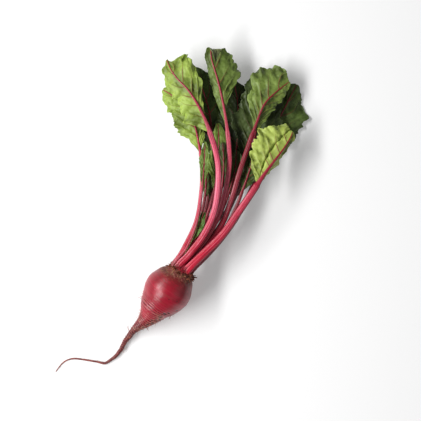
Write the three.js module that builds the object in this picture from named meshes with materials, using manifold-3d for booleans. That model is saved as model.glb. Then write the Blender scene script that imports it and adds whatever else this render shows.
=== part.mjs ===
// A beetroot pulled whole and laid on its side: a swollen root with a long tail, and leaves on red
// stalks that fan out from its crown. Millimetres, +Z up. The origin is on the surface it lies on,
// under the widest part of the root. The tail runs towards -Y and the leaves towards +Y.
import * as THREE from "three";
import { mergeVertices } from "three/addons/utils/BufferGeometryUtils.js";
import Module from "manifold-3d";

const wasm = await Module();
wasm.setup();

// Root: points x, y, z on its centre line with its radius there, from the crown to the tip of the tail.
const ROOT_LINE = [
  [21, 29.2, 36, 13.5], [18.3, 25.2, 34.4, 17.8], [14.8, 20, 32.6, 22.3], [10.8, 14.7, 30.9, 25.9],
  [6.8, 9.2, 29.3, 28.6], [2.6, 3.7, 27.7, 29.8], [-1.3, -1.6, 26.4, 28.9], [-5.1, -6.9, 25.2, 26.9],
  [-12.6, -16.7, 22.6, 21.4], [-17.6, -24, 20.2, 16.3], [-23, -31, 17.6, 11.8], [-28.7, -36.8, 15, 8.6],
  [-35, -42, 12.2, 6.2], [-40.9, -47.5, 9.6, 4.4], [-46, -54, 7.2, 3.6], [-52.3, -62.4, 5, 3.1],
  [-58, -73, 3.5, 2.6], [-64.5, -80.9, 2.7, 2.2], [-71.5, -86.1, 2.1, 1.9], [-77.8, -89.6, 1.7, 1.6],
  [-87.4, -87.9, 1.3, 1.3], [-101.4, -85.6, 1.1, 1.1], [-115.4, -83.9, 1, 1], [-124.1, -85.3, 0.9, 0.9],
  [-131.3, -89.6, 0.8, 0.8], [-136.5, -95.8, 0.7, 0.7], [-139.4, -99.8, 0.6, 0.6],
];
const ROOT_SIDES = 20;
const ROOT_RINGS = 36;
const CROWN_RISE = 3; // how far the middle of the crown stands out beyond the first ring
const CROWN_OUT = new THREE.Vector3(0.6, 0.77, 0.21).normalize(); // the way the crown faces
const CROWN_ACROSS = new THREE.Vector3(0.79, -0.61, 0);

// Stubs of old stalks round the crown, and side rootlets on the taper and the tail.
const STUBS = {
  place: 0.022, angles: [-8, 18, 62, 100, 205, 250, 300], length: 6, sunk: 2.3, radius: 1.6,
  tipRadius: 0.5, sides: 5,
};
const ROOTLETS = {
  firstPlace: 0.36, lastPlace: 0.68, count: 7, length: 9, lean: 0.8, droop: 0.4, sunk: 1.2, radius: 0.7,
  tipRadius: 0.4, sides: 4,
};

// Leaves: the stalk and the midrib are one line, from a seat on the crown to the tip of the leaf.
const LINE_STEPS = 240;
const STALK_SIDES = 7;
const STALK_RINGS = 12;
const SEAT_DEPTH = 4; // how far a stalk's line starts inside the crown
const SEAT_RISE = 7; // how far it then runs straight out
const RIB_TIP = 0.7; // half width of the midrib at its end
const FLATNESS = 0.72; // thickness of a stalk as a share of its width
const CLEARANCE = 0.35; // between a midrib and its blade, and between a stalk and the crown
const BLADE_THICKNESS = 0.9;
const ROW_STEP = 5.5; // between the blade's rows, along the midrib
const BLADE_COLUMNS = 4; // on each side of the midrib
const WING = 1.3; // half width of the blade where it runs out on the stalk
const TIP_WIDTH = 1.2; // half width of the blade's end
const RISE = 1.5; // how slowly a blade widens from its start, unless its half says another
const FALL = 0.8; // how early it narrows again towards its tip, unless its half says another
const RUFFLE_POWER = 1.7; // how the ruffle grows from the midrib to the edge
const SCALLOP = 0.09; // how much the edge swings in and out, as a share of the half width

// For each leaf: its seat on the crown, across and up; the points of its line after the seat; the
// stalk's half width at the crown and where the blade starts; the share of the line where the blade
// starts; and for the half on its left and the half on its right the width, the place where it is
// widest, the share of the width left at the tip, its own rise and fall, how far it leans forward at its
// base and at its tip, the angle at which it leaves the midrib, its curl by the edge, and the ruffle's
// height, number of waves and phase. Angles are in degrees.
const LEAVES = {
  a: {
    seat: [-13.2, 1.5],
    line: [
      [23, 57, 38], [38, 90, 36], [44, 127, 33], [44.5, 160, 30.5], [40, 192, 30], [33.5, 216, 29],
      [23, 234, 26], [9, 246, 21], [-4, 255, 13],
    ],
    stalk: [3.3, 2], bladeFrom: 0.6,
    left: { width: 23, peak: 0.45, sweep: [-0.2, 0.4], leave: 5, curl: -35, ruffle: [2.6, 4.5, 0.3] },
    right: { width: 20, peak: 0.6, sweep: [-0.2, 0.5], leave: -5, curl: -30, ruffle: [2.6, 4, 0.1] },
  },
  b: {
    seat: [-7, 5],
    line: [
      [29.5, 49, 44], [47.5, 73, 46], [60.5, 103, 47], [65.5, 139, 47.5], [63.5, 170, 48],
      [53.5, 204, 49], [42, 230, 50], [28, 252, 48], [14, 267, 44], [6, 279, 39], [1, 291, 32],
    ],
    stalk: [4.7, 3.4], bladeFrom: 0.63,
    left: {
      width: 26, peak: 0.4, rise: 1.2, sweep: [-0.5, 0.3], leave: -8, curl: -15, ruffle: [3, 4.5, 0.2],
    },
    right: {
      width: 34, peak: 0.72, rise: 4, fall: 2, sweep: [0.1, 0.6], leave: 6, curl: -20,
      ruffle: [3.2, 5, 0.9],
    },
  },
  c: {
    seat: [-2.8, -1.2],
    line: [
      [37, 51.5, 37], [53, 73, 37.5], [66.5, 98.5, 37], [74, 126, 36.5], [79, 157, 36], [79, 178, 36],
      [76, 208, 36], [71, 238, 36], [65, 264, 35], [60, 281, 33], [56.5, 294, 32], [56.5, 303, 36],
      [59, 300, 42], [61.5, 287, 43.5],
    ],
    stalk: [3.1, 2.6], bladeFrom: 0.6,
    left: { width: 9, peak: 0.5, sweep: [0, 0.2], leave: -8, curl: -15, ruffle: [1.6, 4, 0.9] },
    right: {
      width: 29, peak: 0.6, rise: 5, fall: 1.2, sweep: [0, 0], leave: -3, curl: -25,
      ruffle: [2.6, 5, 0.6],
    },
  },
  d: {
    seat: [4.2, -2.6],
    line: [
      [50, 60, 32], [69, 85, 33.5], [81.5, 116, 35], [91, 148, 36], [101, 178, 36], [111.5, 208, 37],
      [122, 234, 37], [137, 250.5, 33], [154, 264, 27],
    ],
    stalk: [4.2, 2.4], bladeFrom: 0.7,
    left: {
      width: 35, peak: 0.75, end: 0.4, rise: 2.6, sweep: [-0.3, 0.5], leave: -4, curl: -10,
      ruffle: [3, 4.5, 0.2],
    },
    right: { width: 15, peak: 0.5, sweep: [0, 0.4], leave: -20, curl: -20, ruffle: [2.2, 4, 0.4] },
  },
  e: {
    seat: [4.6, 5],
    line: [
      [45.5, 48, 43], [70, 72.5, 44.5], [89, 99, 46], [105.5, 123, 47], [122, 147.5, 47.5],
      [135.5, 165.5, 47], [146.5, 180, 44], [154, 192, 40.5], [158, 201, 37],
    ],
    stalk: [5.3, 4.2], bladeFrom: 0.64,
    left: {
      width: 35, peak: 0.6, end: 0.3, sweep: [-0.5, 0.5], leave: -3, curl: -5, ruffle: [3.2, 4.5, 0.8],
    },
    right: { width: 15, peak: 0.5, sweep: [0, 0.2], leave: -55, curl: -20, ruffle: [1.8, 4, 0.6] },
  },
  f: {
    seat: [-9.6, -3.2],
    line: [
      [31, 60, 31], [46, 84, 29], [56, 110, 27.5], [62, 138, 27], [64.5, 165, 27], [66, 190, 26],
      [65, 212, 24],
    ],
    stalk: [2, 1.5], bladeFrom: 0.56,
    left: { width: 11, peak: 0.45, sweep: [0, 0.5], leave: 4, curl: 5, ruffle: [1.6, 4, 0.5] },
    right: { width: 12, peak: 0.45, sweep: [0, 0.5], leave: 4, curl: -10, ruffle: [1.6, 4, 0.2] },
  },
  g: {
    seat: [3.3, -8.7],
    line: [
      [48, 55, 25], [66, 80, 22.5], [80, 107, 20.5], [92, 134, 19.5], [102, 162, 19.5], [110, 192, 20],
      [116, 222, 19.5], [120, 250, 18], [122, 270, 14.5], [121, 282, 11],
    ],
    stalk: [3, 2.1], bladeFrom: 0.55,
    left: { width: 29, peak: 0.5, sweep: [-0.2, 0.4], leave: 6, curl: 0, ruffle: [2.6, 4.5, 0.1] },
    right: { width: 28, peak: 0.5, sweep: [-0.2, 0.4], leave: 3, curl: -8, ruffle: [2.6, 4.5, 0.1] },
  },
  h: {
    seat: [9.2, -6.6],
    line: [
      [50, 46, 23], [69, 67, 18], [88, 93, 14], [103, 121, 11.3], [115, 151, 10.3], [126, 181, 10.3],
      [137, 209, 10.3], [151, 236, 8.8], [164, 262, 5.3],
    ],
    stalk: [3.2, 2.2], bladeFrom: 0.55,
    left: { width: 27, peak: 0.5, sweep: [-0.2, 0.4], leave: -2, curl: -8, ruffle: [1.8, 4.5, 0.8] },
    right: { width: 29, peak: 0.55, sweep: [-0.2, 0.4], leave: 0, curl: -10, ruffle: [2.2, 4.5, 0.4] },
  },
  i: {
    seat: [-9.4, -7.6],
    line: [
      [30, 57, 23], [42.5, 80, 17.5], [50, 106, 12.5], [54, 134, 10.4], [56, 163, 10], [57, 193, 10.3],
      [55, 222, 10.3], [48, 249, 9.4], [40, 270, 7.3], [36, 283, 5.8],
    ],
    stalk: [3, 2.1], bladeFrom: 0.57,
    left: { width: 30, peak: 0.5, sweep: [-0.2, 0.4], leave: 0, curl: -10, ruffle: [2.4, 4.5, 0.9] },
    right: { width: 27, peak: 0.5, sweep: [-0.2, 0.4], leave: 0, curl: -10, ruffle: [2.4, 4.5, 0.6] },
  },
  j: {
    seat: [-3, -8.6],
    line: [
      [40.5, 55, 24.5], [56, 79, 20], [67.5, 105, 17], [77, 132, 15.5], [84, 160, 14.5],
      [89.5, 190, 14], [91, 218, 13.5], [89, 244, 11.5], [85, 266, 7],
    ],
    stalk: [3, 2.1], bladeFrom: 0.53,
    left: { width: 28, peak: 0.5, sweep: [-0.2, 0.4], leave: 2, curl: -8, ruffle: [2.6, 4.5, 0.4] },
    right: { width: 28, peak: 0.5, sweep: [-0.2, 0.4], leave: 5, curl: 0, ruffle: [2.6, 4.5, 0.7] },
  },
  k: {
    seat: [-13.4, 6.9],
    line: [
      [26, 57, 45], [37.5, 84, 44.5], [43, 110, 43], [46, 138, 42], [48, 166, 41], [49, 188, 38],
    ],
    stalk: [1.6, 1.1], bladeFrom: 0.66,
    left: { width: 4.5, peak: 0.5, sweep: [0, 0.5], leave: 10, curl: 5, ruffle: [0.9, 4, 0.5] },
    right: { width: 5, peak: 0.5, sweep: [0, 0.5], leave: 10, curl: 5, ruffle: [0.9, 4, 0.2] },
  },
};

const SKIN_RED = { color: 0x8e1c2a, roughness: 0.5, metalness: 0 };
const STALK_RED = { color: 0xb32a45, roughness: 0.45, metalness: 0 };
const LEAF_GREEN = { color: 0x7fa03a, roughness: 0.55, metalness: 0 };

const { clamp, degToRad, lerp, smoothstep } = THREE.MathUtils;
const lineThrough = (points) =>
  new THREE.CatmullRomCurve3(points.map(([x, y, z]) => new THREE.Vector3(x, y, z)), false, "catmullrom");

// A seeded draw, the same each time.
let seed = 11;
function draw(low, high) {
  seed = (seed * 16807) % 2147483647;
  return lerp(low, high, seed / 2147483647);
}

function closedMesh(points, faces) {
  const geometry = new THREE.BufferGeometry();
  geometry.setAttribute("position", new THREE.Float32BufferAttribute(points.flatMap((p) => p.toArray()), 3));
  geometry.setIndex(faces);
  return geometry;
}

// A closed skin over rings of equally many points, with one more point closing each end.
function skinOver(rings, firstEnd, lastEnd) {
  const sides = rings[0].length;
  const first = rings.length * sides;
  const lastRing = first - sides;
  const faces = [];
  for (let k = 0; k < sides; k++) {
    const next = (k + 1) % sides;
    for (let row = 0; row < lastRing; row += sides) {
      faces.push(row + k, row + next, row + sides + k);
      faces.push(row + next, row + sides + next, row + sides + k);
    }
    faces.push(first, next, k, first + 1, lastRing + k, lastRing + next);
  }
  return closedMesh([...rings.flat(), firstEnd, lastEnd], faces);
}

function ring({ at, side, up }, halfWidth, halfHeight, sides) {
  return Array.from({ length: sides }, (_, k) => {
    const angle = (2 * Math.PI * k) / sides;
    const point = at.clone().addScaledVector(side, -halfWidth * Math.cos(angle));
    return point.addScaledVector(up, halfHeight * Math.sin(angle));
  });
}

function toSolid(geometry) {
  const merged = mergeVertices(geometry, 1e-4);
  const vertProperties = merged.attributes.position.array;
  const triVerts = new Uint32Array(merged.index.array);
  return new wasm.Manifold(new wasm.Mesh({ numProp: 3, vertProperties, triVerts }));
}

function toGeometry(solid) {
  const mesh = solid.getMesh();
  const geometry = new THREE.BufferGeometry();
  geometry.setAttribute("position", new THREE.BufferAttribute(mesh.vertProperties, 3));
  geometry.setIndex(new THREE.BufferAttribute(mesh.triVerts, 1));
  return geometry;
}

// Points along a line with their direction ahead, up and to the side. Up starts as near to +Z as it can
// and is carried along without turning about the line.
function framesAlong(line) {
  const up = new THREE.Vector3(0, 0, 1);
  return Array.from({ length: LINE_STEPS + 1 }, (_, i) => {
    const ahead = line.getTangentAt(i / LINE_STEPS);
    up.addScaledVector(ahead, -up.dot(ahead)).normalize();
    return { at: line.getPointAt(i / LINE_STEPS), ahead, up: up.clone(), side: ahead.clone().cross(up) };
  });
}

function frameAt(frames, share) {
  const place = clamp(share, 0, 1) * LINE_STEPS;
  const low = Math.min(Math.floor(place), LINE_STEPS - 1);
  const [a, b] = [frames[low], frames[low + 1]];
  const blend = (key) => a[key].clone().lerp(b[key], place - low);
  return { at: blend("at"), ahead: blend("ahead"), up: blend("up"), side: blend("side") };
}

// The root's frame and radius at a place from 0, the crown, to 1, the tip of the tail.
const rootLine = lineThrough(ROOT_LINE);
const rootRadii = lineThrough(ROOT_LINE.map(([, , , radius]) => [radius, 0, 0]));
function rootAt(place) {
  const at = rootLine.getPoint(place);
  const ahead = rootLine.getTangent(place);
  const side = ahead.clone().cross(new THREE.Vector3(0, 0, 1)).normalize();
  return { at, ahead, side, up: side.clone().cross(ahead), radius: rootRadii.getPoint(place).x };
}

const restOnSurface = (point) => point.setZ(Math.max(point.z, 0));

// The root grown outwards by a margin, pressed flat where it lies on the surface.
function rootSkin(margin) {
  const rings = Array.from({ length: ROOT_RINGS + 1 }, (_, i) => {
    const frame = rootAt(i / ROOT_RINGS);
    return ring(frame, frame.radius + margin, frame.radius + margin, ROOT_SIDES).map(restOnSurface);
  });
  const crown = rootAt(0).at.addScaledVector(CROWN_OUT, CROWN_RISE + margin);
  const tip = rootAt(1).at.addScaledVector(rootAt(1).ahead, 1.5);
  return skinOver(rings, crown, tip);
}

// A tapered spike along a line, for stubs and rootlets.
function spike(points, radius, tipRadius, sides) {
  const frames = framesAlong(lineThrough(points.map((point) => point.toArray())));
  const rings = [0, 0.35, 0.7, 0.95].map((share) => {
    const size = lerp(radius, tipRadius, share);
    return ring(frameAt(frames, share), size, size, sides);
  });
  return toSolid(skinOver(rings, frames[0].at, frames[LINE_STEPS].at));
}

function awayFrom({ side, up }, angle) {
  return side.clone().multiplyScalar(Math.cos(angle)).addScaledVector(up, Math.sin(angle));
}

function stubSolids() {
  const frame = rootAt(STUBS.place);
  return STUBS.angles.map((degrees) => {
    const outward = awayFrom(frame, degToRad(degrees));
    const base = frame.at.clone().addScaledVector(outward, frame.radius - STUBS.sunk);
    const halfUp = CROWN_OUT.clone().multiplyScalar(STUBS.length / 2);
    const knee = base.clone().addScaledVector(outward, STUBS.sunk).add(halfUp);
    const tip = knee.clone().addScaledVector(outward, draw(0, 1.5)).add(halfUp);
    return spike([base, knee, tip], STUBS.radius, STUBS.tipRadius, STUBS.sides);
  });
}

function rootletSolids() {
  return Array.from({ length: ROOTLETS.count }, (_, i) => {
    const place = lerp(ROOTLETS.firstPlace, ROOTLETS.lastPlace, (i + draw(0, 0.6)) / ROOTLETS.count);
    const frame = rootAt(place);
    const outward = awayFrom(frame, i % 3 === 2 ? draw(2.2, 2.9) : draw(-0.5, 0.35));
    const length = ROOTLETS.length * draw(0.6, 1.2);
    const points = [-ROOTLETS.sunk, 0.25 * length, 0.45 * length, 0.6 * length].map((out, k) => {
      const point = frame.at.clone().addScaledVector(outward, frame.radius + out);
      point.addScaledVector(frame.ahead, (ROOTLETS.lean * k * length) / 3);
      return point.setZ(Math.max(point.z - ROOTLETS.droop * k * k, ROOTLETS.radius));
    });
    return spike(points, ROOTLETS.radius, ROOTLETS.tipRadius, ROOTLETS.sides);
  });
}

function rootGeometry() {
  const solids = [toSolid(rootSkin(0)), ...stubSolids(), ...rootletSolids()];
  return toGeometry(wasm.Manifold.union(solids));
}

const rootClearance = toSolid(rootSkin(CLEARANCE));

// The frames of a leaf's line, which starts inside the crown and leaves it straight.
function leafFrames({ seat: [across, up], line }) {
  const seat = rootAt(0).at.addScaledVector(CROWN_ACROSS, across).add(new THREE.Vector3(0, 0, up));
  const inside = seat.clone().addScaledVector(CROWN_OUT, -SEAT_DEPTH);
  const outside = seat.clone().addScaledVector(CROWN_OUT, SEAT_RISE);
  return framesAlong(lineThrough([inside.toArray(), outside.toArray(), ...line]));
}

function stalkHalfWidth({ stalk: [base, atBlade], bladeFrom }, share) {
  if (share < bladeFrom) return lerp(base, atBlade, (share / bladeFrom) ** 0.8);
  return lerp(atBlade, RIB_TIP, ((share - bladeFrom) / (1 - bladeFrom)) ** 0.8);
}

const bladeShare = ({ bladeFrom }, along) => lerp(bladeFrom, 1, along);

function bladeRows({ line, bladeFrom }) {
  return Math.round((lineThrough(line).getLength() * (1 - bladeFrom)) / ROW_STEP);
}

// A stalk with its midrib. Its rings on the blade are where the blade has its rows.
function stalkGeometry(leaf) {
  const frames = leafFrames(leaf);
  const rows = bladeRows(leaf);
  const shares = Array.from({ length: STALK_RINGS }, (_, i) => (leaf.bladeFrom * i) / STALK_RINGS);
  for (let row = 0; row < rows; row++) shares.push(bladeShare(leaf, row / rows));
  const rings = shares.map((share) => {
    const halfWidth = stalkHalfWidth(leaf, share);
    return ring(frameAt(frames, share), halfWidth, halfWidth * FLATNESS, STALK_SIDES);
  });
  const end = frameAt(frames, bladeShare(leaf, (rows - 0.5) / rows)).at;
  const pieces = toSolid(skinOver(rings, frames[0].at, end)).subtract(rootClearance).decompose();
  return toGeometry(pieces.sort((a, b) => b.volume() - a.volume())[0]);
}

const wave = (turns) => Math.sin(2 * Math.PI * turns);

// The half width of one half of a blade, from 0 where it starts to 1 at its tip.
function halfWidthAt(half, along) {
  const { width, peak, end = 0, rise = RISE, fall = FALL, ruffle: [, waves, phase] } = half;
  const opening = Math.sin((Math.PI / 2) * Math.min(along / peak, 1)) ** rise;
  const closing = Math.cos((Math.PI / 2) * Math.max((along - peak) / (1 - peak), 0)) ** fall;
  const scallops = 1 + SCALLOP * wave(1.5 * waves * along + phase);
  return lerp(WING, TIP_WIDTH, along) + width * opening * lerp(closing, 1, end) * scallops;
}

// A point on the middle surface of a blade: along it from 0 to 1, and across it from -1, its left edge,
// to 1, its right edge. Each half leaves the midrib at an angle, bends as an arc and ripples at its edge.
function bladePoint(leaf, frames, along, across) {
  const half = across < 0 ? leaf.left : leaf.right;
  const frame = frameAt(frames, bladeShare(leaf, along));
  const leave = degToRad(half.leave) * smoothstep(along, -0.1, 0.2) * (1 - 0.7 * smoothstep(along, 0.75, 1));
  const curl = degToRad(half.curl) * smoothstep(along, 0, 0.3);
  const [height, waves, phase] = half.ruffle;
  const width = halfWidthAt(half, along);
  const reach = width * Math.abs(across);
  const turned = leave + curl * Math.abs(across);
  const outward = Math.abs(curl) < 1e-3 ? Math.cos(leave) * reach
    : (width / curl) * (Math.sin(turned) - Math.sin(leave));
  const upward = Math.abs(curl) < 1e-3 ? Math.sin(leave) * reach
    : (width / curl) * (Math.cos(leave) - Math.cos(turned));
  const swing = wave(waves * along + phase) + 0.35 * wave(2.3 * waves * along);
  const ruffle = height * Math.abs(across) ** RUFFLE_POWER * swing * smoothstep(width, 0, height * 5);
  const ribHalfWidth = stalkHalfWidth(leaf, bladeShare(leaf, along));
  const lift = Math.max(leave, 0);
  const behind = (CLEARANCE + BLADE_THICKNESS / 2) / Math.cos(lift);
  const below = ribHalfWidth * (FLATNESS + Math.tan(lift)) + behind;
  const sideways = Math.sign(across) * outward - Math.sign(across) * Math.sin(turned) * ruffle;
  const point = frame.at.clone().addScaledVector(frame.side, sideways);
  point.addScaledVector(frame.up, upward + Math.cos(turned) * ruffle - below);
  return point.addScaledVector(frame.ahead, lerp(...half.sweep, along) * reach);
}

// A blade as a thin closed slab: its middle surface set out by half its thickness to either side, with
// both faces split into triangles alike.
function bladeGeometry(leaf) {
  const frames = leafFrames(leaf);
  const rows = bladeRows(leaf);
  const across = 2 * BLADE_COLUMNS + 1;
  const middle = [];
  for (let row = 0; row <= rows; row++) {
    for (let column = -BLADE_COLUMNS; column <= BLADE_COLUMNS; column++) {
      middle.push(bladePoint(leaf, frames, row / rows, column / BLADE_COLUMNS));
    }
  }
  const sheet = [];
  for (let row = 0; row < rows; row++) {
    for (let column = 0; column + 1 < across; column++) {
      const a = row * across + column;
      const c = a + across + 1;
      sheet.push(a, a + 1, c, a, c, a + across);
    }
  }
  const surface = closedMesh(middle, sheet);
  surface.computeVertexNormals();
  const normal = new THREE.Vector3();
  const shell = [1, -1].map((face) => middle.map((point, i) => {
    normal.fromBufferAttribute(surface.attributes.normal, i);
    return point.clone().addScaledVector(normal, (face * BLADE_THICKNESS) / 2);
  }));
  const count = middle.length;
  const faces = [...sheet];
  for (let i = 0; i < sheet.length; i += 3) {
    faces.push(sheet[i] + count, sheet[i + 2] + count, sheet[i + 1] + count);
  }
  const wall = (a, b) => faces.push(a, a + count, b, b, a + count, b + count);
  for (let column = 0; column + 1 < across; column++) {
    wall(column, column + 1);
    wall(rows * across + column + 1, rows * across + column);
  }
  for (let row = 0; row < rows; row++) {
    wall((row + 1) * across, row * across);
    wall((row + 1) * across - 1, (row + 2) * across - 1);
  }
  return closedMesh(shell.flat(), faces);
}

function piece(name, geometry, finish) {
  geometry.computeVertexNormals();
  const mesh = new THREE.Mesh(geometry, new THREE.MeshStandardMaterial(finish));
  mesh.name = name;
  return mesh;
}

const beetroot = new THREE.Group();
beetroot.add(piece("root", rootGeometry(), SKIN_RED));
for (const [letter, leaf] of Object.entries(LEAVES)) {
  beetroot.add(piece(`stalk_${letter}`, stalkGeometry(leaf), STALK_RED));
  beetroot.add(piece(`blade_${letter}`, bladeGeometry(leaf), LEAF_GREEN));
}

export default beetroot;
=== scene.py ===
import math
from collections import namedtuple

import bpy
import numpy as np
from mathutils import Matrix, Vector, noise


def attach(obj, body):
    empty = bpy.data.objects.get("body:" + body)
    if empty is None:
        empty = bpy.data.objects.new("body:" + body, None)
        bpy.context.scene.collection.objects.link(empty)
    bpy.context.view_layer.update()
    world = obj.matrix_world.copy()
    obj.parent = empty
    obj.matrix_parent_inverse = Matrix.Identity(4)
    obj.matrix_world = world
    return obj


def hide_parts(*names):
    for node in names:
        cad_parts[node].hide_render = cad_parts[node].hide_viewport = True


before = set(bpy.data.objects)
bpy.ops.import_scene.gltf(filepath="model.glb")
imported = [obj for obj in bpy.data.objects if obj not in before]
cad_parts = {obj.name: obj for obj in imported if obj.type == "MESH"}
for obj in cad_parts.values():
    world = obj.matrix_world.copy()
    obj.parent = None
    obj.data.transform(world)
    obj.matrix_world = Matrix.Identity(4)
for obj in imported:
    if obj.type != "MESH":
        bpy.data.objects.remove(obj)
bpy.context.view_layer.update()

# Root: one piece of solid flesh under a thin waxy skin, deep crimson on the bulb, brown and corky round
# the crown, and drawn out below into a wrinkled neck and a long thin tail. It lies on a small flat spot.
MM = 0.001
# Points x, y, z on its centre line with its radius there, in millimetres, from the crown to the tail.
ROOT_LINE = [
    [21, 29.2, 36, 13.5], [18.3, 25.2, 34.4, 17.8], [14.8, 20, 32.6, 22.3], [10.8, 14.7, 30.9, 25.9],
    [6.8, 9.2, 29.3, 28.6], [2.6, 3.7, 27.7, 29.8], [-1.3, -1.6, 26.4, 28.9], [-5.1, -6.9, 25.2, 26.9],
    [-12.6, -16.7, 22.6, 21.4], [-17.6, -24, 20.2, 16.3], [-23, -31, 17.6, 11.8], [-28.7, -36.8, 15, 8.6],
    [-35, -42, 12.2, 6.2], [-40.9, -47.5, 9.6, 4.4], [-46, -54, 7.2, 3.6], [-52.3, -62.4, 5, 3.1],
    [-58, -73, 3.5, 2.6], [-64.5, -80.9, 2.7, 2.2], [-71.5, -86.1, 2.1, 1.9], [-77.8, -89.6, 1.7, 1.6],
    [-87.4, -87.9, 1.3, 1.3], [-101.4, -85.6, 1.1, 1.1], [-115.4, -83.9, 1, 1], [-124.1, -85.3, 0.9, 0.9],
    [-131.3, -89.6, 0.8, 0.8], [-136.5, -95.8, 0.7, 0.7], [-139.4, -99.8, 0.6, 0.6],
]
ROOT_SIDES = 144
FINE_RINGS = 360  # over the bulb and its taper
TAIL_RINGS = 170
TAPER_END = 128.0  # millimetres along the root
CROWN_RINGS = 18
CROWN_RISE = 3.0
CROWN_OUT = np.array([0.6, 0.77, 0.21]) / np.linalg.norm([0.6, 0.77, 0.21])
CROWN_ACROSS = np.array([0.79, -0.61, 0.0])
CROWN_MIDDLE = np.array(ROOT_LINE[0][:3])
CROWN_GRIT = 0.9  # this and the other heights and depths of the skin's forms are millimetres
LUMP_HEIGHT = 0.8
CORK_HEIGHT = 0.9
CORK_END = 5.5  # millimetres down from the crown's rim
WRINKLES = (38.0, 76.0, 118.0, 153.0)  # where the wrinkles begin, are full, begin to fade and end
WRINKLE_STEP = 2.9
WRINKLE_HEIGHT = 0.7
KNOT_HEIGHT = 0.6
FURROW = 0.375  # where the side roots' furrow lies, as a share of a turn from the underside
FURROW_WIDTH = 0.02
FURROW_DEPTH = 0.6
PIT_DEPTH = 0.7
# Pits, most of them in that furrow: millimetres along the root, share of a turn from the underside, and
# half of each pit's size round the root and along it.
PITS = [
    [51, 0.372, 2.2, 1], [54.5, 0.392, 2.8, 1.3], [62, 0.388, 3.2, 1.7], [66, 0.36, 2.2, 1],
    [70, 0.382, 2.6, 1.2], [76, 0.37, 2.2, 1.2], [81, 0.39, 2, 1.1], [88, 0.38, 1.8, 1],
    [94, 0.4, 1.6, 0.9], [72, 0.43, 1.4, 0.8], [85, 0.6, 1.5, 0.8], [98, 0.55, 1.4, 0.8],
    [34, 0.46, 1, 0.7], [30, 0.4, 0.9, 0.6], [44, 0.33, 1.6, 1],
]
UV_LENGTH = 100.0  # millimetres of length to one unit of V
# Colours of the skin, here and below as the eye sees them, from 0 to 255.
CRIMSON = (160, 12, 40)
DEEP_CRIMSON = (130, 10, 32)
PALE_RINGS = (190, 56, 78)
DARK_RINGS = (84, 10, 20)
BROWN_CLOUDS = (128, 62, 52)
DARK_SPECKS = (76, 14, 18)
CORK = [(0.36, (62, 34, 20)), (0.48, (104, 64, 40)), (0.58, (138, 96, 62)), (0.7, (196, 160, 112))]
RUSSET = (104, 32, 30)
NECK_SHADE = (40, 6, 8)
NECK_RED = (124, 34, 32)
# The wrinkles' pale crests are painted highlight, and their dark folds are painted shade.
WRINKLE_CREST_HIGHLIGHT = (214, 134, 122)
WRINKLE_FOLD_SHADE = (60, 8, 12)
TAIL_BROWN = (92, 26, 28)
TAIL_PINK = (144, 68, 60)
PALE_STRANDS = (198, 124, 100)
DARK_STRANDS = (58, 18, 14)
TIP_PINK = (206, 176, 166)
PIT_RIM = (206, 146, 126)
PIT_DARK = (24, 6, 8)


def through(points, places):
    """Where a smooth line through the points is at each place from 0 to 1."""
    points = np.asarray(points, float)
    padded = np.vstack([2 * points[0] - points[1], points, 2 * points[-1] - points[-2]])
    spans = len(points) - 1
    at = np.clip(np.asarray(places, float), 0, 1) * spans
    span = np.minimum(at.astype(int), spans - 1)
    t = (at - span)[:, None]
    before, a, b, after = (padded[span + k] for k in range(4))
    bend = (2 * before - 5 * a + 4 * b - after) * t**2 + (3 * a - before - 3 * b + after) * t**3
    return 0.5 * (2 * a + (b - before) * t + bend)


def length_along(points):
    steps = np.linalg.norm(np.diff(points[:, :3], axis=0), axis=1)
    return np.concatenate([[0.0], np.cumsum(steps)])


def unit(vectors):
    return vectors / np.linalg.norm(vectors, axis=-1, keepdims=True)


def smooth(value, low, high):
    """0 up to low and 1 from high on, eased between."""
    t = np.clip((value - low) / (high - low), 0, 1)
    return t * t * (3 - 2 * t)


def bell(value, middle, width):
    """1 at the middle, and next to nothing at twice the width from it."""
    return np.exp(-(((value - middle) / width) ** 2))


def rough(points, size, seed):
    """Noise from about -1 to 1 at points in millimetres, with lumps about as wide as size."""
    flat = points.reshape(-1, 3) / size + seed * 17.3
    return np.array([noise.noise(Vector(p)) for p in flat]).reshape(points.shape[:-1])


def skin_over(rings, first_end, last_end):
    """Vertices, faces and UVs of a closed skin over rings, whose seam is at each ring's first point."""
    count, sides = rings.shape[:2]
    i, k = np.meshgrid(np.arange(count - 1), np.arange(sides), indexing="ij")
    after = (k + 1) % sides
    quads = np.stack([i * sides + k, i * sides + after, (i + 1) * sides + after, (i + 1) * sides + k], -1)
    corner_u = np.stack([k, k + 1, k + 1, k], -1) / sides
    corner_row = np.stack([i, i, i + 1, i + 1], -1)
    first = count * sides
    ends = [[first, (n + 1) % sides, n] for n in range(sides)]
    ends += [[first + 1, first - sides + n, first - sides + (n + 1) % sides] for n in range(sides)]
    run = length_along(rings.mean(axis=1)) / UV_LENGTH
    uvs = np.stack([corner_u, run[corner_row]], -1).reshape(-1, 2).tolist()
    for n in range(sides):
        uvs += [[(n + 0.5) / sides, run[0]], [(n + 1) / sides, run[0]], [n / sides, run[0]]]
    for n in range(sides):
        uvs += [[(n + 0.5) / sides, run[-1]], [n / sides, run[-1]], [(n + 1) / sides, run[-1]]]
    points = np.vstack([rings.reshape(-1, 3), first_end, last_end])
    return points, quads.reshape(-1, 4).tolist() + ends, uvs


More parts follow.
